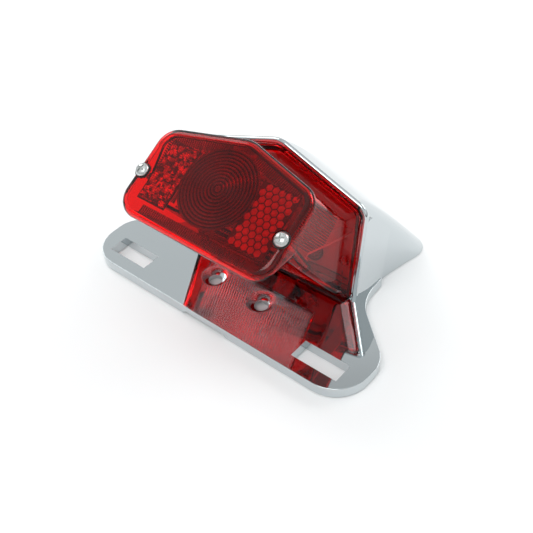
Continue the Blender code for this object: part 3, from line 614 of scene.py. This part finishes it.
def lens_rings(inset, seat):
    """Sections from the rounded face, through the cap and the body, to the seat in the rim."""
    rings = []
    rounding = FACE_ROUND - inset * 0.5
    for angle in (90, 75, 60, 45, 30, 15, 0):
        depth = inset + rounding * (1 - sin(radians(angle)))
        draw = inset + rounding * (1 - cos(radians(angle)))
        place = face_frame() @ Matrix.Translation((0, 0, -depth))
        rings.append([place @ Vector((x, y, 0)) for x, y in face_outline(draw)])
    for draw, deeper in ((0.0, 0.7), (1.2, 1.5)):
        neck = house(FACE_HALF_WIDTH, CAP_FLOOR - draw, FACE_SHOULDER, FACE_APEX, inset + draw,
                     (11.0, 13.0, 20.0))
        rings.append([face_frame() @ Vector((x, y, -cap_depth(y) - deeper - 0.4 * inset))
                      for x, y in neck])
    for draw, rise, floor in SKIRT:
        height = seat if rise == LENS_SEAT else rise - 0.4 * inset
        base = rim_frame() @ Matrix.Translation((0, 0, height))
        outline = house(RIM_HALF_WIDTH, floor - draw, RIM_SHOULDER, RIM_APEX, draw + inset,
                        (10.0, 12.0, 18.0))
        rings.append([base @ Vector((x, y, 0)) for x, y in outline])
    return rings


class TAILLIGHT_OT_lens(bpy.types.Operator):
    """Red wedge lens: rounded face, side band, body and skirt, hollow inside"""
    bl_idname = "tail_light.lens"
    bl_label = "Lens"

    def execute(self, context):
        wall = context.scene.tail_light_sizes.lens_wall / MM
        outer = loft("lens_outer", lens_rings(0.0, LENS_SEAT), Matrix.Identity(4))
        inner = loft("lens_inner", lens_rings(wall, LENS_SEAT - 3.0), Matrix.Identity(4))
        places = [(side * SCREW_PITCH / 2, 0) for side in (-1, 1)]
        recess = [(0, 4.0), (5.2, 4.0), (5.2, -1.0), (2.3, -1.0), (2.3, BOSS_REACH),
                  (0, BOSS_REACH)]
        bores = turned("bores", recess, face_frame(), places)
        low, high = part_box("lens_window")
        centre = (low + high) / 2 / MM
        reach = hypot(high.y - low.y, high.z - low.z) / MM
        across = (high.x - low.x) / MM + 0.6
        tilt = Matrix.Translation(centre) @ Matrix.Rotation(-BODY_SLOPE, 4, 'X')
        opening = boxes("opening", [((0, 0, 0), (across, reach, 12.0))], tilt)
        shell = cut_by("lens_shell_rough", outer, (inner, bores, opening))
        finished("lens_shell", shell, "red_lens", replaced=("lens",))
        return {'FINISHED'}


class TAILLIGHT_OT_edge(bpy.types.Operator):
    """Dark strip of painted shade inside the upper and right-hand edge of the face, where its
    rounding turns
    """
    bl_idname = "tail_light.edge"
    bl_label = "Edge strip"

    def execute(self, context):
        outer, inner = (face_outline(inset)[STRIP_CORNERS] for inset in STRIP_EDGES)
        bm = bmesh.new()
        rows = [[bm.verts.new((*a, -3.4)), bm.verts.new((*b, -2.6)), bm.verts.new((*b, -4.0)),
                 bm.verts.new((*a, -4.0))] for a, b in zip(outer, inner)]
        for first, second in zip(rows, rows[1:]):
            for index in range(4):
                after = (index + 1) % 4
                bm.faces.new((first[index], first[after], second[after], second[index]))
        bm.faces.new(rows[0][::-1])
        bm.faces.new(rows[-1])
        strip = mesh_of("painted_edge_shade", bm, face_frame())
        # A dark sheet of painted shade along the face's rounded edge.
        finished("painted_edge_shade", strip, "edge_shadow")
        return {'FINISHED'}


class TAILLIGHT_OT_rings(bpy.types.Operator):
    """Round stepped optic behind the middle of the face"""
    bl_idname = "tail_light.rings"
    bl_label = "Round optic"

    def execute(self, context):
        sizes = context.scene.tail_light_sizes
        radius = sizes.ring_radius / MM
        pitch = radius / sizes.ring_count
        profile = [(0, 0.0), (radius, 0.0), (radius, -0.9)]
        for index in range(sizes.ring_count - 1, 0, -1):
            profile.append((index * pitch + RING_RISER, -2.0))
            profile.append((index * pitch, -0.9))
        profile.append((0, -1.9))
        disc = turned("rings", profile, on_face(*RING_CENTRE, RING_DEPTH), steps=96)
        finished("ring_optic", disc, "ring_red", crease=20)
        return {'FINISHED'}


# ---------------------------------------------------------------- geometry nodes patterns

def new_tree(name, sockets):
    """An empty geometry tree with a geometry output and named inputs."""
    tree = bpy.data.node_groups.new(name, 'GeometryNodeTree')
    tree.interface.new_socket("Geometry", in_out='OUTPUT', socket_type='NodeSocketGeometry')
    for label, kind in sockets:
        tree.interface.new_socket(label, in_out='INPUT', socket_type=kind)
    return tree, tree.nodes.new('NodeGroupInput'), tree.nodes.new('NodeGroupOutput')


def math_node(tree, operation, *values):
    """A math node whose inputs are numbers or sockets."""
    node = tree.nodes.new('ShaderNodeMath')
    node.operation = operation
    for index, value in enumerate(values):
        if isinstance(value, (int, float)):
            node.inputs[index].default_value = value
        else:
            tree.links.new(value, node.inputs[index])
    return node.outputs[0]


def end_tree(tree, geometry, source, sink):
    """Realize the instances and give them the material input."""
    real = tree.nodes.new('GeometryNodeRealizeInstances')
    painted = tree.nodes.new('GeometryNodeSetMaterial')
    tree.links.new(geometry, real.inputs[0])
    tree.links.new(real.outputs[0], painted.inputs["Geometry"])
    tree.links.new(source.outputs["Material"], painted.inputs["Material"])
    tree.links.new(painted.outputs[0], sink.inputs["Geometry"])


def point_grid(tree, columns, rows, pitch_x, pitch_y):
    grid = tree.nodes.new('GeometryNodeMeshGrid')
    tree.links.new(columns, grid.inputs["Vertices X"])
    tree.links.new(rows, grid.inputs["Vertices Y"])
    wide = math_node(tree, 'MULTIPLY', math_node(tree, 'SUBTRACT', columns, 1), pitch_x)
    tall = math_node(tree, 'MULTIPLY', math_node(tree, 'SUBTRACT', rows, 1), pitch_y)
    tree.links.new(wide, grid.inputs["Size X"])
    tree.links.new(tall, grid.inputs["Size Y"])
    return grid.outputs["Mesh"]


PATTERN_SOCKETS = (("Columns", 'NodeSocketInt'), ("Rows", 'NodeSocketInt'),
                   ("Pitch", 'NodeSocketFloat'), ("Depth", 'NodeSocketFloat'),
                   ("Material", 'NodeSocketMaterial'))


def make_prism_tree():
    """Small three-sided corner prisms on a square grid, turned at random from a fixed seed."""
    tree, source, sink = new_tree("corner_prisms", PATTERN_SOCKETS)
    pitch = source.outputs["Pitch"]
    points = point_grid(tree, source.outputs["Columns"], source.outputs["Rows"], pitch, pitch)
    prism = tree.nodes.new('GeometryNodeMeshCone')
    prism.inputs["Vertices"].default_value = 3
    tree.links.new(math_node(tree, 'MULTIPLY', pitch, 0.8), prism.inputs["Radius Bottom"])
    tree.links.new(source.outputs["Depth"], prism.inputs["Depth"])
    chance = tree.nodes.new('FunctionNodeRandomValue')
    chance.data_type = 'FLOAT_VECTOR'
    chance.inputs["Min"].default_value = (-0.35, -0.35, 0.0)
    chance.inputs["Max"].default_value = (0.35, 0.35, 2 * pi)
    chance.inputs["Seed"].default_value = 7
    placed = tree.nodes.new('GeometryNodeInstanceOnPoints')
    tree.links.new(points, placed.inputs["Points"])
    tree.links.new(prism.outputs["Mesh"], placed.inputs["Instance"])
    tree.links.new(chance.outputs["Value"], placed.inputs["Rotation"])
    end_tree(tree, placed.outputs[0], source, sink)
    return tree


def make_cell_tree():
    """Six-sided domed cells on staggered rows."""
    tree, source, sink = new_tree("six_sided_cells", PATTERN_SOCKETS)
    pitch = source.outputs["Pitch"]
    row_pitch = math_node(tree, 'MULTIPLY', pitch, sqrt(3) / 2)
    points = point_grid(tree, source.outputs["Columns"], source.outputs["Rows"], pitch, row_pitch)
    number = tree.nodes.new('GeometryNodeInputIndex')
    row = math_node(tree, 'MODULO', number.outputs[0], source.outputs["Rows"])
    odd = math_node(tree, 'MODULO', row, 2)
    shift = math_node(tree, 'MULTIPLY', math_node(tree, 'MULTIPLY', odd, 0.5), pitch)
    offset = tree.nodes.new('ShaderNodeCombineXYZ')
    tree.links.new(shift, offset.inputs["X"])
    moved = tree.nodes.new('GeometryNodeSetPosition')
    tree.links.new(points, moved.inputs["Geometry"])
    tree.links.new(offset.outputs[0], moved.inputs["Offset"])
    cell = tree.nodes.new('GeometryNodeMeshCone')
    cell.inputs["Vertices"].default_value = 6
    tree.links.new(math_node(tree, 'MULTIPLY', pitch, 0.50), cell.inputs["Radius Bottom"])
    tree.links.new(math_node(tree, 'MULTIPLY', pitch, 0.24), cell.inputs["Radius Top"])
    tree.links.new(source.outputs["Depth"], cell.inputs["Depth"])
    placed = tree.nodes.new('GeometryNodeInstanceOnPoints')
    placed.inputs["Rotation"].default_value = (0, 0, pi / 6)
    tree.links.new(moved.outputs[0], placed.inputs["Points"])
    tree.links.new(cell.outputs["Mesh"], placed.inputs["Instance"])
    end_tree(tree, placed.outputs[0], source, sink)
    return tree


def make_flute_tree():
    """A row of fine round ribs, side by side along X and lying along Y."""
    tree, source, sink = new_tree(
        "flutes", (("Count", 'NodeSocketInt'), ("Pitch", 'NodeSocketFloat'),
                   ("Length", 'NodeSocketFloat'), ("Material", 'NodeSocketMaterial')))
    pitch = source.outputs["Pitch"]
    count = source.outputs["Count"]
    line = tree.nodes.new('GeometryNodeMeshLine')
    tree.links.new(count, line.inputs["Count"])
    half = math_node(tree, 'MULTIPLY', math_node(tree, 'SUBTRACT', count, 1), -0.5)
    start = tree.nodes.new('ShaderNodeCombineXYZ')
    tree.links.new(math_node(tree, 'MULTIPLY', half, pitch), start.inputs["X"])
    step = tree.nodes.new('ShaderNodeCombineXYZ')
    tree.links.new(pitch, step.inputs["X"])
    tree.links.new(start.outputs[0], line.inputs["Start Location"])
    tree.links.new(step.outputs[0], line.inputs["Offset"])
    rib = tree.nodes.new('GeometryNodeMeshCylinder')
    rib.inputs["Vertices"].default_value = 10
    tree.links.new(math_node(tree, 'MULTIPLY', pitch, 0.32), rib.inputs["Radius"])
    tree.links.new(source.outputs["Length"], rib.inputs["Depth"])
    placed = tree.nodes.new('GeometryNodeInstanceOnPoints')
    placed.inputs["Rotation"].default_value = (pi / 2, 0, 0)
    tree.links.new(line.outputs["Mesh"], placed.inputs["Points"])
    tree.links.new(rib.outputs["Mesh"], placed.inputs["Instance"])
    end_tree(tree, placed.outputs[0], source, sink)
    return tree


def pattern(tree, values, material, places):
    """One mesh of the tree's pattern at each place, with the tree's inputs set by name."""
    bm = bmesh.new()
    for place, changes in places:
        host = link(bpy.data.objects.new("pattern_host", bpy.data.meshes.new("pattern_host")))
        modifier = host.modifiers.new("pattern", 'NODES')
        modifier.node_group = tree
        settings = {**values, **changes, "Material": bpy.data.materials[material]}
        for item in tree.interface.items_tree:
            if item.in_out == 'INPUT' and item.name in settings:
                modifier[item.identifier] = settings[item.name]
        made = evaluated(host)
        bpy.data.objects.remove(host, do_unlink=True)
        made.transform(Matrix.Scale(MM, 4) @ place @ Matrix.Scale(1 / MM, 4))
        bm.from_mesh(made)
    mesh = bpy.data.meshes.new("pattern")
    bm.to_mesh(mesh)
    bm.free()
    return mesh


def backing(name, width, centre):
    """A thin dark sheet of painted shade behind a patterned field of the face, for the dark inside
    of the lamp.
    """
    sheet = ((0, 0, -BACKING_THICKNESS / 2), (width, 38.0, BACKING_THICKNESS))
    return boxes(name, [sheet], on_face(*centre, BACKING_DEPTH))


class TAILLIGHT_OT_reflector(bpy.types.Operator):
    """Left-hand reflector of fine corner prisms behind the face"""
    bl_idname = "tail_light.reflector"
    bl_label = "Prism reflector"

    def execute(self, context):
        pitch = context.scene.tail_light_sizes.prism_pitch
        columns = int(0.0195 / pitch)
        rows = int(0.037 / pitch)
        prisms = pattern(make_prism_tree(), {"Columns": columns, "Rows": rows, "Pitch": pitch,
                                             "Depth": PATTERN_HEIGHT},
                         "red_prisms", [(on_face(*REFLECTOR_CENTRE, OPTIC_DEPTH), {})])
        finished("reflector_prisms", prisms, "red_prisms", crease=10)
        back = backing("reflector_back", 20.4, REFLECTOR_CENTRE)
        finished("reflector_back", back, "shade_backing")
        return {'FINISHED'}


class TAILLIGHT_OT_cells(bpy.types.Operator):
    """Right-hand field of six-sided cells behind the face"""
    bl_idname = "tail_light.cells"
    bl_label = "Six-sided cells"

    def execute(self, context):
        pitch = context.scene.tail_light_sizes.cell_pitch
        cells = pattern(make_cell_tree(), {"Columns": 5, "Rows": 10, "Pitch": pitch,
                                           "Depth": PATTERN_HEIGHT},
                        "red_cells", [(on_face(*CELL_CENTRE, OPTIC_DEPTH), {})])
        finished("face_cells", cells, "red_cells", crease=15)
        back = backing("cell_back", 24.6, CELL_BACK_CENTRE)
        finished("cell_back", back, "shade_backing")
        return {'FINISHED'}


class TAILLIGHT_OT_flutes(bpy.types.Operator):
    """Fine flutes round the face, along the sides of the body and under the window"""
    bl_idname = "tail_light.flutes"
    bl_label = "Flutes"

    def execute(self, context):
        pitch = context.scene.tail_light_sizes.flute_pitch
        tree = make_flute_tree()
        roof = (FACE_APEX - FACE_SHOULDER) / FACE_HALF_WIDTH
        lean = abs(Vector((1, roof)).angle_signed(Vector((1, 0))))
        face_places = [
            (on_face(26.0, 29.0, FLUTE_DEPTH, -lean), {"Count": 27, "Length": 0.0075}),
            (on_face(-26.0, 29.0, FLUTE_DEPTH, lean), {"Count": 27, "Length": 0.0075}),
            (on_face(0.0, -19.0, FLUTE_DEPTH), {"Count": 54, "Length": 0.0055}),
        ]
        # The face and side flutes take the darker red of painted shade.
        ribs = pattern(tree, {"Pitch": pitch}, "flute_shade_red", face_places)
        finished("face_flutes", ribs, "flute_shade_red", crease=60)

        down = Vector((0, cos(BODY_SLOPE), -sin(BODY_SLOPE)))
        up = Vector((0, sin(BODY_SLOPE), cos(BODY_SLOPE)))
        side_places = []
        for side in (-1, 1):
            centre = Vector((side * 49.6, 38.0, 76.0)) - up * 14.0
            axes = Matrix((up, down, up.cross(down))).transposed().to_4x4()
            side_places.append((world_frame() @ Matrix.Translation(centre) @ axes,
                                {"Count": 17, "Length": 0.030}))
        ribs = pattern(tree, {"Pitch": pitch}, "flute_shade_red", side_places)
        finished("side_flutes", ribs, "flute_shade_red", crease=60)

        low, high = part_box("lens_window")
        centre = (low + high) / 2 / MM + up * 2.0
        axes = Matrix((Vector((1, 0, 0)), -down, Vector((1, 0, 0)).cross(-down)))
        place = Matrix.Translation(centre) @ axes.transposed().to_4x4()
        ribs = pattern(tree, {"Pitch": pitch * 1.3}, "clear_plastic",
                       [(place, {"Count": 42, "Length": 0.040})])
        finished("window_flutes", ribs, "clear_plastic", crease=60)
        return {'FINISHED'}


# ---------------------------------------------------------------- screws

class TAILLIGHT_OT_screws(bpy.types.Operator):
    """Two cross-recessed pan-head screws that hold the lens"""
    bl_idname = "tail_light.screws"
    bl_label = "Lens screws"

    def execute(self, context):
        profile = [(0, 2.6), (1.2, 2.55), (2.2, 2.35), (3.0, 1.95), (3.6, 1.4), (4.0, 0.75),
                   (4.1, 0.4), (4.05, 0.0), (2.0, 0.0), (2.0, SCREW_END), (0, SCREW_END)]
        for word, side in (("left", -1), ("right", 1)):
            place = on_face(side * SCREW_PITCH / 2, 0.0, 0.0, radians(20 * side + 10))
            blank = turned("screw_blank", profile, place, steps=40)
            slots = boxes("cross", [((0, 0, 2.3), (5.0, 1.0, 2.2))], place)
            across = boxes("cross", [((0, 0, 2.3), (1.0, 5.0, 2.2))], place)
            screw = cut_by("screw", blank, (slots, across))
            finished("face_screw_" + word, screw, "zinc_steel",
                     replaced=("lens_screw_" + word,), crease=30)
        return {'FINISHED'}


# ---------------------------------------------------------------- studio

def add_softbox(name, place, aim, size, power):
    data = bpy.data.lights.new(name, 'AREA')
    data.shape = 'RECTANGLE'
    data.size = size[0]
    data.size_y = size[1]
    data.energy = power
    lamp = link(bpy.data.objects.new(name, data))
    lamp.location = place
    lamp.rotation_euler = (Vector(aim) - Vector(place)).to_track_quat('-Z', 'Y').to_euler()


def make_sky():
    """A pale room: bright overhead, softer at the sides, with a dark line at the horizon."""
    world = bpy.data.worlds.new("studio_room")
    bpy.context.scene.world = world
    world.use_nodes = True
    nodes, links = world.node_tree.nodes, world.node_tree.links
    place = nodes.new('ShaderNodeTexCoord')
    parts = nodes.new('ShaderNodeSeparateXYZ')
    links.new(place.outputs["Generated"], parts.inputs[0])
    height = nodes.new('ShaderNodeMapRange')
    height.inputs["From Min"].default_value = -1.0
    links.new(parts.outputs["Z"], height.inputs["Value"])
    ramp = nodes.new('ShaderNodeValToRGB')
    stops = ramp.color_ramp.elements
    for index, (where, value) in enumerate(SKY_BANDS):
        stop = stops[index] if index < 2 else stops.new(where)
        stop.position = where
        stop.color = (value * 0.97, value, value * 1.01, 1)
    links.new(height.outputs["Result"], ramp.inputs["Fac"])
    links.new(ramp.outputs["Color"], nodes["Background"].inputs["Color"])
    nodes["Background"].inputs["Strength"].default_value = SKY_STRENGTH


class TAILLIGHT_OT_studio(bpy.types.Operator):
    """Pale floor, soft lights and the camera"""
    bl_idname = "tail_light.studio"
    bl_label = "Studio"

    def execute(self, context):
        colours = context.scene.tail_light_colours
        new_finish("studio_floor", tuple(colours.floor_white), 0.8, 0.0, (3.0, 0.01, 0.0),
                   (300.0, 1.0, 0.02, 0.0001))
        bm = bmesh.new()
        bmesh.ops.create_grid(bm, x_segments=2, y_segments=2, size=FLOOR_HALF_SIZE)
        mesh = bpy.data.meshes.new("studio_floor")
        bm.to_mesh(mesh)
        bm.free()
        mesh.transform(Matrix.Translation((0, 0, -FLOOR_DROP)))
        mesh.materials.append(bpy.data.materials["studio_floor"])
        link(bpy.data.objects.new("studio_floor", mesh))
        make_sky()
        add_softbox("key_light", (0.15, -0.75, 1.25), SOFTBOX_AIM, (0.9, 0.5), 6.0)
        add_softbox("left_light", (-1.1, 0.2, 0.9), SOFTBOX_AIM, (0.5, 0.9), 4.5)
        add_softbox("back_light", (0.5, 1.2, 0.8), SOFTBOX_AIM, (1.0, 0.4), 4.5)

        data = bpy.data.cameras.new("studio_camera")
        data.lens = CAMERA_LENS
        data.sensor_width = 36.0
        camera = link(bpy.data.objects.new("studio_camera", data))
        right = Vector(CAMERA_RIGHT).normalized()
        back = Vector(CAMERA_BACK).normalized()
        axes = Matrix((right, back.cross(right), back)).transposed()
        stand = (DATUM + Vector(CAMERA_STAND)) * MM
        camera.matrix_world = Matrix.Translation(stand) @ axes.to_4x4()
        context.scene.camera = camera
        context.scene.view_settings.view_transform = 'Standard'
        return {'FINISHED'}


# ---------------------------------------------------------------- panel and running

OPERATORS = (TAILLIGHT_OT_finishes, TAILLIGHT_OT_casting, TAILLIGHT_OT_spring, TAILLIGHT_OT_lens,
             TAILLIGHT_OT_edge, TAILLIGHT_OT_rings, TAILLIGHT_OT_reflector, TAILLIGHT_OT_cells,
             TAILLIGHT_OT_flutes, TAILLIGHT_OT_screws, TAILLIGHT_OT_studio)


class TAILLIGHT_PT_panel(bpy.types.Panel):
    """Sizes, colours and the steps that build the lamp"""
    bl_idname = "TAILLIGHT_PT_panel"
    bl_label = "Tail Light"
    bl_space_type = 'VIEW_3D'
    bl_region_type = 'UI'
    bl_category = "Tail Light"

    def draw(self, context):
        column = self.layout.column()
        for name in TailLightSizes.__annotations__:
            column.prop(context.scene.tail_light_sizes, name)
        for name in TailLightColours.__annotations__:
            column.prop(context.scene.tail_light_colours, name)
        for step in OPERATORS:
            column.operator(step.bl_idname)


CLASSES = (TailLightSizes, TailLightColours) + OPERATORS + (TAILLIGHT_PT_panel,)


def register():
    for cls in CLASSES:
        bpy.utils.register_class(cls)
    bpy.types.Scene.tail_light_sizes = PointerProperty(type=TailLightSizes)
    bpy.types.Scene.tail_light_colours = PointerProperty(type=TailLightColours)


def unregister():
    del bpy.types.Scene.tail_light_colours
    del bpy.types.Scene.tail_light_sizes
    for cls in reversed(CLASSES):
        bpy.utils.unregister_class(cls)


def main():
    register()
    bpy.ops.tail_light.finishes()
    bpy.ops.tail_light.casting()
    bpy.ops.tail_light.spring()
    bpy.ops.tail_light.lens()
    bpy.ops.tail_light.edge()
    bpy.ops.tail_light.rings()
    bpy.ops.tail_light.reflector()
    bpy.ops.tail_light.cells()
    bpy.ops.tail_light.flutes()
    bpy.ops.tail_light.screws()
    bpy.ops.tail_light.studio()


if __name__ == "__main__":
    main()
